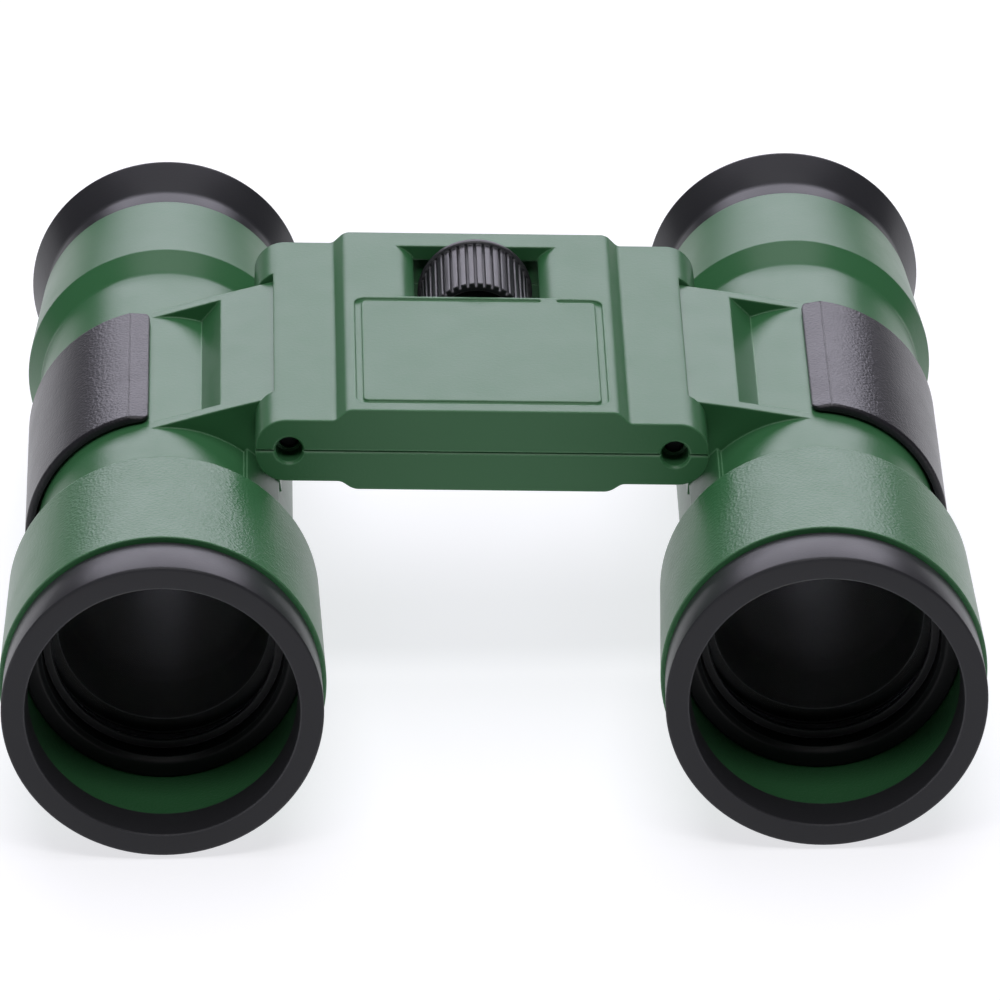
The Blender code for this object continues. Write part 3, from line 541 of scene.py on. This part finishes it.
UPPER_POST = ((0.12, 0.0), (0.12, 2.2), (4.0, 2.2), (4.0, 0.0))
PILOT_HOLE = ((-1.0, 0.0), (-1.0, 0.8), (3.0, 0.8), (3.0, 0.0))
LOWER_POST = ((-4.0, 0.0), (-4.0, 2.5), (-0.12, 2.5), (-0.12, 0.0))
COUNTERBORE = ((-6.0, 0.0), (-6.0, 2.0), (-2.9, 2.0), (-2.9, 1.0), (1.0, 1.0), (1.0, 0.0))
for x, y in SHELL_SCREWS:
    join_or_cut(upper, upright("post", x, y, UPPER_POST), "UNION")
    join_or_cut(upper, upright("pilot", x, y, PILOT_HOLE), "DIFFERENCE")
    join_or_cut(lower, upright("post", x, y, LOWER_POST), "UNION")
    join_or_cut(lower, upright("counterbore", x, y, COUNTERBORE), "DIFFERENCE")

for shell, cad_node in ((upper, "bridge_upper_shell"), (lower, "bridge_lower_shell")):
    soften(shell, 0.12)
    put(shell, bridge_place)
    settle(shell, satin_green, [cad_node], "bridge")


# --- Hinge pins -------------------------------------------------------------------------
# Black-passivated steel pins pushed in from the front. Each runs through both knuckle
# walls and the lug's eye, and stops short of the front face, so the hole looks dark.

def plated(name, dark, light, roughness):
    """Plated steel: faint cloudy plating over fine grinding marks."""
    made = bpy.data.materials.new(name)
    made.use_nodes = True
    tree = made.node_tree
    shader = tree.nodes["Principled BSDF"]
    shader.inputs["Metallic"].default_value = 1.0
    cloud = node(tree, "ShaderNodeMix", -400, 300, data_type="RGBA")
    cloud.inputs["A"].default_value = (*dark, 1.0)
    cloud.inputs["B"].default_value = (*light, 1.0)
    tree.links.new(noise(tree, 350.0, 4.0).outputs["Fac"], cloud.inputs["Factor"])
    tree.links.new(cloud.outputs["Result"], shader.inputs["Base Color"])
    patches = noise(tree, 900.0, 3.0).outputs["Fac"]
    uneven = spread(tree, patches, roughness - 0.08, roughness + 0.08)
    tree.links.new(uneven, shader.inputs["Roughness"])
    bump = node(tree, "ShaderNodeBump", -250, -300, Strength=0.6, Distance=0.004 * MM)
    tree.links.new(noise(tree, 4000.0, 2.0).outputs["Fac"], bump.inputs["Height"])
    tree.links.new(bump.outputs["Normal"], shader.inputs["Normal"])
    return made


PIN_FRONT = 3.2
PIN_REAR = 44.6
PIN_RADIUS = 1.1
black_steel = plated("black_steel", (0.020, 0.020, 0.022), (0.035, 0.035, 0.038), 0.5)

for side, word in ((-1, "left"), (1, "right")):
    shaft = (
        (PIN_FRONT, 0.0), (PIN_FRONT, PIN_RADIUS), (PIN_REAR, PIN_RADIUS), (PIN_REAR, 0.0),
    )
    tips = ((PIN_FRONT, PIN_RADIUS, 0.25), (PIN_REAR, PIN_RADIUS, 0.25))
    pin = turned("hinge_pin_" + word + "_steel", shaft, 32, (side * HINGE_X, 0.0), tips)
    put(pin, bridge_place)
    settle(pin, black_steel, ["hinge_pin_" + word], "bridge")


# --- Shell screws -----------------------------------------------------------------------
# Four small self-tapping screws with a pan head and cross recess, sunk in counterbores
# in the underside.

plated_steel = plated("plated_steel", (0.48, 0.48, 0.47), (0.66, 0.66, 0.64), 0.32)

for number, (x, y) in enumerate(SHELL_SCREWS, start=1):
    steps = ((-4.4, 0.0), (-4.4, 1.6), (-3.3, 1.6), (-3.3, 0.72), (2.0, 0.72), (2.6, 0.0))
    screw = turned("screw", steps, 32, (0.0, 0.0), ((-4.4, 1.6, 0.4),))
    put(screw, Matrix.Rotation(math.radians(90.0), 4, "X"))
    for wide, long in ((0.22, 0.95), (0.95, 0.22)):
        outline = [(-wide, -5.0), (wide, -5.0), (wide * 0.7, -3.9), (-wide * 0.7, -3.9)]
        join_or_cut(screw, bar("recess", outline, -long, long), "DIFFERENCE")
    screw.name = "shell_screw_%d_steel" % number
    put(screw, bridge_place @ Matrix.Translation((x * MM, y * MM, 0.0)))
    bpy.ops.object.shade_smooth_by_angle(angle=math.radians(SMOOTH_ANGLE))
    cad_node = "shell_screw_%d" % number
    settle(screw, plated_steel, [cad_node], "bridge")


# --- Focus wheel ------------------------------------------------------------------------
# Black moulded thumb wheel, hollow in front, with square-cut ridges round its rim and a
# thin smooth flange behind them. It is pressed on the screw's rear journal.

RIDGES = 40
RIDGE_RADIUS = 6.2
VALLEY_RADIUS = 5.75
FLANGE_RADIUS = 6.55
WHEEL_FRONT = 31.2
WHEEL_REAR = 42.3
# Grey painted along sharp edges of the black parts as a highlight.
BLACK_EDGE_HIGHLIGHT = (0.15, 0.15, 0.16)
ridge_black = moulded(
    "ridge_black", (0.020, 0.020, 0.023), BLACK_EDGE_HIGHLIGHT, 0.33, 0.30, 0.012, specular=0.28)

rim = []
ridge_outline = (
    (0.0, RIDGE_RADIUS), (0.62, RIDGE_RADIUS), (0.70, VALLEY_RADIUS), (0.92, VALLEY_RADIUS),
)
for ridge in range(RIDGES):
    for turn_part, radius in ridge_outline:
        angle = 2.0 * math.pi * (ridge + turn_part) / RIDGES
        rim.append((radius * math.sin(angle), radius * math.cos(angle)))
wheel = bar("focus_wheel_moulded", rim, WHEEL_FRONT, WHEEL_REAR)
flange = (
    (41.65, 0.0), (41.65, 6.4), (41.8, FLANGE_RADIUS), (WHEEL_REAR, FLANGE_RADIUS),
    (WHEEL_REAR, 0.0),
)
join_or_cut(wheel, turned("flange", flange, 96), "UNION")
front_dish = ((30.0, 0.0), (30.0, 5.35), (34.4, 4.9), (34.4, 0.0))
join_or_cut(wheel, turned("dish", front_dish, 64), "DIFFERENCE")
rear_dish = ((41.1, 0.0), (41.1, 5.1), (43.0, 5.4), (43.0, 0.0))
join_or_cut(wheel, turned("dish", rear_dish, 64), "DIFFERENCE")
bore = ((30.0, 0.0), (30.0, 1.23), (43.0, 1.23), (43.0, 0.0))
join_or_cut(wheel, turned("bore", bore, 32), "DIFFERENCE")
put(wheel, bridge_place)
soften(wheel, 0.10, 2, 28.0)
settle(wheel, ridge_black, ["focus_wheel"], "focus_wheel")


# --- Screw, carriage and arms -----------------------------------------------------------
# The coarse screw, the white nut carriage and the black arms work inside the bridge and
# lugs, so their CAD shapes stay and only take their real finishes.

black_satin = moulded(
    "black_satin", (0.026, 0.026, 0.029), BLACK_EDGE_HIGHLIGHT, 0.33, 0.30, 0.012, specular=0.16)
# The carriage's paler edge colour is a painted highlight.
waxy_white = moulded("waxy_white", (0.72, 0.72, 0.68), (0.8, 0.8, 0.77), 0.42, 0.5, 0.004)
inner_finishes = (("focus_screw", plated_steel), ("focus_carriage", waxy_white),
                  ("focus_arm_left", black_satin), ("focus_arm_right", black_satin))
for cad_node, finish in inner_finishes:
    frame["nodes"][cad_node].data.materials[0] = finish


# --- Tubes ------------------------------------------------------------------------------
# Each green tube is one moulding: waist, flared front section, stepped rear and, on the
# inboard side, the lug with its eye. Two thin webs close the ends of the lug's recess.

TUBE_U = 17.43
TUBE_W = -11.5
WAIST_RADIUS = 14.4
EYE_RADIUS = 2.9
LUG_FRONT = 8.3
LUG_REAR = 38.8
LUG_WEB = 1.5
ARM_Y = (ARM_SLOT_FRONT + ARM_SLOT_REAR) / 2.0
GRAIN_START = 4.7

tube_place = {}
for side, word, hinge in ((-1, "left", hinge_left), (1, "right", hinge_right)):
    bezel_low, bezel_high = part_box("objective_bezel_" + word)
    axis_x = (bezel_low[0] + bezel_high[0]) / 2.0
    axis_z = (bezel_low[2] + bezel_high[2]) / 2.0
    drawn = math.atan2(TUBE_W, side * TUBE_U)
    placed = math.atan2(axis_z - hinge.z, axis_x - hinge.x)
    tube_place[side] = Matrix.Translation((hinge.x, bridge_front, hinge.z))
    tube_place[side] = tube_place[side] @ Matrix.Rotation(drawn - placed, 4, "Y")


def tube_arc(radius, start, end, steps):
    """Part of a circle round the tube's axis, angles from outboard toward the crown."""
    return arc((TUBE_U, TUBE_W), radius, start, end, steps)


def along_arm(near, far, half, side):
    """Box section whose long side runs from the hinge toward the tube's axis."""
    angle = math.atan2(TUBE_W, TUBE_U)
    run = Vector((math.cos(angle), math.sin(angle)))
    across = Vector((-run.y, run.x)) * half
    corners = (run * near - across, run * far - across, run * far + across, run * near + across)
    return flip([(corner.x, corner.y) for corner in corners], side)


def grained(name, step_y):
    """Tube finish: satin green whose front section carries a coarser leathery grain."""
    made = moulded(name, GREEN, GREEN_EDGE_HIGHLIGHT, 0.33, 0.33, 0.014)
    tree = made.node_tree
    shader = tree.nodes["Principled BSDF"]
    first = shader.inputs["Normal"].links[0].from_node
    place = tree.nodes["Object place"]
    split = node(tree, "ShaderNodeSeparateXYZ", -1200, -600)
    tree.links.new(place.outputs["Object"], split.inputs["Vector"])
    zone = node(tree, "ShaderNodeMapRange", -900, -600)
    zone.inputs["From Min"].default_value = step_y + 0.0002
    zone.inputs["From Max"].default_value = step_y - 0.0002
    tree.links.new(split.outputs["Y"], zone.inputs["Value"])
    cells = node(tree, "ShaderNodeTexVoronoi", -1200, -800, Scale=2900.0)
    cells.feature = "SMOOTH_F1"
    cells.inputs["Smoothness"].default_value = 0.6
    tree.links.new(place.outputs["Object"], cells.inputs["Vector"])
    height = node(tree, "ShaderNodeMath", -700, -700, operation="MULTIPLY")
    tree.links.new(cells.outputs["Distance"], height.inputs[0])
    tree.links.new(zone.outputs["Result"], height.inputs[1])
    bump = node(tree, "ShaderNodeBump", -100, -500, Strength=1.0, Distance=0.035 * MM)
    tree.links.new(height.outputs["Value"], bump.inputs["Height"])
    tree.links.new(first.outputs["Normal"], bump.inputs["Normal"])
    tree.links.new(bump.outputs["Normal"], shader.inputs["Normal"])
    return made


tube_green = grained("tube_green", bridge_front - GRAIN_START * MM)

for side, word in ((-1, "left"), (1, "right")):
    wall = (
        (-28.3, 15.8), (-28.3, 16.5), (-26.2, 16.5), (-26.2, 17.9),
        (-4.7, 17.2), (-4.7, WAIST_RADIUS), (49.2, WAIST_RADIUS), (52.3, 15.95),
        (68.4, 14.65), (68.4, 12.9), (-6.9, 12.9), (-6.9, 15.8),
    )
    eased = (
        (-26.2, 17.9, 0.1), (-4.7, 17.2, 0.1), (-4.7, WAIST_RADIUS, 0.35),
        (49.2, WAIST_RADIUS, 0.35), (52.3, 15.95, 0.1), (68.4, 14.65, 0.15),
    )
    centre = (side * TUBE_U, TUBE_W)
    tube = turned("barrel_" + word + "_moulded", wall, 128, centre, eased)
    inside = WAIST_RADIUS - 0.8
    lug = [(0.0, EYE_RADIUS)] + arc((0.0, 0.0), EYE_RADIUS, 90.0, 280.0, 24)[1:]
    lug += [(2.1, -3.0), (2.6, -4.2), (3.1, -8.6)] + tube_arc(inside, 167.0, 123.0, 12)
    lug += [(9.8, 0.9), (7.1, EYE_RADIUS)]
    join_or_cut(tube, bar("lug", flip(lug, side), LUG_FRONT, LUG_REAR), "UNION")
    web = [(6.0, EYE_RADIUS), (6.0, 0.0)] + tube_arc(inside, 135.0, 93.0, 14)
    web += [(15.3, 2.72), (7.1, EYE_RADIUS)]
    for start in (LUG_FRONT, LUG_REAR - LUG_WEB):
        join_or_cut(tube, bar("web", flip(web, side), start, start + LUG_WEB), "UNION")
    rib = tube_arc(WAIST_RADIUS + 0.55, 143.0, 164.0, 8) + tube_arc(inside, 164.0, 143.0, 8)
    join_or_cut(tube, bar("rib", flip(rib, side), -5.2, LUG_FRONT + 1.0), "UNION")
    eye = ((0.0, 0.0), (0.0, PIN_HOLE_RADIUS), (46.0, PIN_HOLE_RADIUS), (46.0, 0.0))
    join_or_cut(tube, turned("eye", eye, 32), "DIFFERENCE")
    room = [(0.3, 4.0), (0.3, 2.3)] + arc((0.0, 0.0), 2.35, 82.0, 0.0, 14)
    room += [(2.35, -3.6), (-4.0, -3.6), (-4.0, 4.0)]
    join_or_cut(tube, bar("room", flip(room, side), 16.3, 30.7), "DIFFERENCE")
    arm_path = along_arm(0.5, 9.0, 1.4, side)
    join_or_cut(tube, bar("arm_slot", arm_path, ARM_SLOT_FRONT, ARM_SLOT_REAR), "DIFFERENCE")
    soften(tube, 0.14)
    put(tube, tube_place[side])
    settle(tube, tube_green, ["barrel_" + word], word + "_tube")


# --- Grip pads --------------------------------------------------------------------------
# A black pebbled strip wraps the outboard half of each waist. Its upper end is drawn down
# into a flat lip, and its edges stand proud of the green moulding.

PAD_FRONT = 9.6
PAD_REAR = 37.2
PAD_SWEEP = 172.0
LIP_REACH = 2.07
LIP_DROP = 0.14
LIP_CORNER = 1.1
CREASE_HALF = 0.12


def pebbled(name):
    """Soft-touch black with a rounded pebble grain and dull valleys between."""
    # The grey (0.06, 0.06, 0.065) is painted on the pad's sharp edges as a highlight.
    made = moulded(
        name, (0.020, 0.019, 0.023), (0.06, 0.06, 0.065), 0.33, 0.30, 0.004, specular=0.28)
    tree = made.node_tree
    shader = tree.nodes["Principled BSDF"]
    first = shader.inputs["Normal"].links[0].from_node
    pebbles = node(tree, "ShaderNodeTexVoronoi", -1200, -800, Scale=3200.0)
    pebbles.feature = "SMOOTH_F1"
    pebbles.inputs["Smoothness"].default_value = 0.7
    tree.links.new(tree.nodes["Object place"].outputs["Object"], pebbles.inputs["Vector"])
    bump = node(tree, "ShaderNodeBump", -100, -500, Strength=1.0, Distance=0.032 * MM)
    bump.invert = True
    tree.links.new(pebbles.outputs["Distance"], bump.inputs["Height"])
    tree.links.new(first.outputs["Normal"], bump.inputs["Normal"])
    tree.links.new(bump.outputs["Normal"], shader.inputs["Normal"])
    return made


pad_black = pebbled("pad_black")

for side, word in ((-1, "left"), (1, "right")):
    inner = WAIST_RADIUS + 0.35
    outer = WAIST_RADIUS + 1.25
    section = [(PAD_FRONT, inner), (PAD_FRONT, outer), (PAD_REAR, outer), (PAD_REAR, inner)]
    corners = [(0.0, y, radius) for y, radius in section]
    pad = draw_outline("grip_pad_" + word + "_soft", corners)
    round_corners(pad, [(0.0, y, outer) for y in (PAD_FRONT, PAD_REAR)], 0.4, 5)
    pick(pad, lambda centre, normal: True, "FACE")
    bpy.ops.mesh.delete(type="ONLY_FACE")
    bpy.ops.mesh.select_all(action="SELECT")
    sweep = -side * math.radians(PAD_SWEEP)
    bpy.ops.mesh.spin(steps=72, angle=sweep, center=(0.0, 0.0, 0.0), axis=(0.0, 1.0, 0.0))
    bpy.ops.mesh.select_all(action="DESELECT")
    bpy.ops.mesh.select_mode(type="EDGE")
    bpy.ops.mesh.select_non_manifold()
    bpy.ops.mesh.edge_face_add()
    bpy.ops.mesh.select_all(action="SELECT")
    bpy.ops.mesh.normals_make_consistent(inside=False)
    bpy.ops.object.mode_set(mode="OBJECT")

    def upper_end(centre, normal):
        return abs(centre.x) < 0.01 and centre.z > 0.0 and abs(normal.x) > 0.9

    pick(pad, upper_end, "FACE")
    lip = {"value": (-side * LIP_REACH * MM, 0.0, -LIP_DROP * MM)}
    bpy.ops.mesh.extrude_region_move(TRANSFORM_OT_translate=lip)
    bpy.ops.object.mode_set(mode="OBJECT")
    pick(pad, lambda co: -side * co.x > 2.0 and co.z > inner - LIP_DROP + 0.45)
    bpy.ops.transform.translate(value=(0.0, 0.0, -0.55 * MM))
    bpy.ops.mesh.select_all(action="SELECT")
    bpy.ops.mesh.normals_make_consistent(inside=False)
    bpy.ops.transform.translate(value=(side * TUBE_U * MM, 0.0, TUBE_W * MM))
    bpy.ops.object.mode_set(mode="OBJECT")
    lip_end = side * (TUBE_U - LIP_REACH)
    round_off = arc((LIP_CORNER, LIP_CORNER), LIP_CORNER, 180.0, 270.0, 8)
    round_off += [(LIP_CORNER, -1.0), (-1.0, -1.0), (-1.0, LIP_CORNER)]
    for end_y, inward in ((PAD_FRONT, 1.0), (PAD_REAR, -1.0)):
        corner = [(lip_end + side * a, end_y + inward * b, 0.0) for a, b in round_off]
        tool = draw_outline("corner", corner)
        pull(tool, (0.0, 0.0, 8.0))
        join_or_cut(pad, tool, "DIFFERENCE")
    top = TUBE_W + outer
    fold = side * TUBE_U
    crease = [(fold - CREASE_HALF, top + 0.1), (fold + CREASE_HALF, top + 0.1), (fold, top - 0.14)]
    join_or_cut(pad, bar("crease", crease, PAD_FRONT - 1.0, PAD_REAR + 1.0), "DIFFERENCE")
    soften(pad, 0.22, 3, 30.0)
    put(pad, tube_place[side])
    settle(pad, pad_black, ["grip_pad_" + word], word + "_tube")


# --- Objective bezels -------------------------------------------------------------------
# Black caps pressed over the front spigots; the face is rounded outside and in, and the
# throat narrows a little toward the cell.

for side, word in ((-1, "left"), (1, "right")):
    centre = (side * TUBE_U, TUBE_W)
    profile = (
        (-26.45, 16.6), (-26.45, 17.4), (-33.2, 17.6), (-33.2, 15.0), (-28.6, 14.7),
        (-28.6, 16.6),
    )
    eased = ((-26.45, 17.4, 0.2), (-33.2, 17.6, 0.3), (-33.2, 15.0, 0.12), (-28.6, 14.7, 0.15))
    bezel = turned("objective_bezel_" + word + "_cap", profile, 128, centre, eased)
    put(bezel, tube_place[side])
    settle(bezel, black_satin, ["objective_bezel_" + word], word + "_tube")


# --- Objective cells, lenses and retainers ----------------------------------------------
# The sliding cell is a flanged matt black tube. The lens sits in its mouth behind a thin
# threaded ring, and the tube behind it narrows to a baffle.

matt_black = moulded("matt_black", (0.010, 0.010, 0.012), BLACK_EDGE_HIGHLIGHT, 0.45, 0.35, 0.008)


def clear_glass(name):
    """Clear coated lens: reflects little, with a faint moulding waviness."""
    made = bpy.data.materials.new(name)
    made.use_nodes = True
    tree = made.node_tree
    shader = tree.nodes["Principled BSDF"]
    shader.inputs["Base Color"].default_value = (0.96, 0.98, 0.98, 1.0)
    shader.inputs["Transmission Weight"].default_value = 1.0
    shader.inputs["IOR"].default_value = 1.10
    shader.inputs["Roughness"].default_value = 0.0
    wave = node(tree, "ShaderNodeBump", -250, -300, Strength=0.3, Distance=0.002 * MM)
    tree.links.new(noise(tree, 90.0, 1.0).outputs["Fac"], wave.inputs["Height"])
    tree.links.new(wave.outputs["Normal"], shader.inputs["Normal"])
    return made


lens_clear = clear_glass("lens_clear")

for side, word in ((-1, "left"), (1, "right")):
    centre = (side * TUBE_U, TUBE_W)
    profile = (
        (-18.2, 13.9), (-18.2, 15.65), (-11.0, 15.65), (-11.0, 12.7), (26.5, 12.7),
        (26.5, 11.6), (-3.2, 11.0), (-11.4, 11.6), (-11.4, 13.4), (-17.7, 13.4),
    )
    eased = ((-18.2, 13.9, 0.1), (-18.2, 15.65, 0.25), (-3.2, 11.0, 0.4))
    cell = turned("objective_cell_" + word + "_tube", profile, 96, centre, eased)
    reach = math.hypot(TUBE_U, TUBE_W)
    foot = reach - 12.8
    peg_hole = along_arm(foot - 1.0, reach - 11.0, 0.75, side)
    join_or_cut(cell, bar("peg_hole", peg_hole, ARM_Y - 1.25, ARM_Y + 1.25), "DIFFERENCE")
    put(cell, tube_place[side])
    bpy.ops.object.shade_smooth_by_angle(angle=math.radians(SMOOTH_ANGLE))
    settle(cell, matt_black, ["objective_cell_" + word], word + "_cell")

    profile = (
        (-15.8, 0.0), (-15.75, 2.3), (-15.62, 4.6), (-15.39, 6.8), (-15.1, 8.8),
        (-14.72, 11.0), (-14.3, 13.1), (-12.5, 13.1), (-12.25, 11.0), (-11.95, 8.8),
        (-11.78, 6.8), (-11.65, 4.6), (-11.54, 2.3), (-11.5, 0.0),
    )
    lens = turned("objective_lens_" + word + "_clear", profile, 96, centre)
    put(lens, tube_place[side])
    settle(lens, lens_clear, ["objective_lens_" + word], word + "_cell")

    profile = ((-15.9, 12.35), (-15.9, 13.25), (-14.6, 13.25), (-14.6, 12.75), (-15.3, 12.35))
    keeper = turned("lens_retainer_" + word + "_ring", profile, 96, centre, ((-15.9, 12.35, 0.12),))
    put(keeper, tube_place[side])
    settle(keeper, matt_black, ["lens_retainer_" + word], word + "_cell")


# --- Eyecups, eyepiece lenses and keepers -----------------------------------------------
# Black cups plugged into the rear of the tubes, flaring from a short neck to a rounded
# lip. The small eyepiece lens is held inside by a snap-in ring.

for side, word in ((-1, "left"), (1, "right")):
    centre = (side * TUBE_U, TUBE_W)
    profile = (
        (68.7, 12.8), (68.7, 14.2), (72.2, 14.1), (77.2, 15.95), (77.2, 14.75),
        (71.2, 9.0), (70.2, 7.6), (66.6, 7.6), (66.6, 6.4), (65.4, 6.4), (65.4, 9.2),
        (60.5, 11.6), (60.5, 12.8),
    )
    eased = (
        (72.2, 14.1, 0.5), (77.2, 15.95, 0.4), (77.2, 14.75, 0.45), (71.2, 9.0, 0.6),
        (68.7, 14.2, 0.15),
    )
    cup = turned("eyecup_" + word + "_cup", profile, 128, centre, eased)
    put(cup, tube_place[side])
    settle(cup, black_satin, ["eyecup_" + word], word + "_tube")

    profile = (
        (66.9, 0.0), (66.9, 7.4), (69.0, 7.4), (69.0, 6.4), (68.6, 5.0), (68.3, 3.6),
        (68.1, 1.8), (68.05, 0.0),
    )
    eye_lens = turned("eyepiece_lens_" + word + "_clear", profile, 64, centre, ((66.9, 7.4, 0.12),))
    put(eye_lens, tube_place[side])
    settle(eye_lens, lens_clear, ["eyepiece_lens_" + word], word + "_tube")

    profile = ((69.3, 6.3), (69.3, 7.45), (70.1, 7.45), (70.1, 6.7))
    eased = ((70.1, 6.7, 0.15),)
    eye_ring = turned("eyepiece_retainer_" + word + "_ring", profile, 64, centre, eased)
    put(eye_ring, tube_place[side])
    settle(eye_ring, matt_black, ["eyepiece_retainer_" + word], word + "_tube")
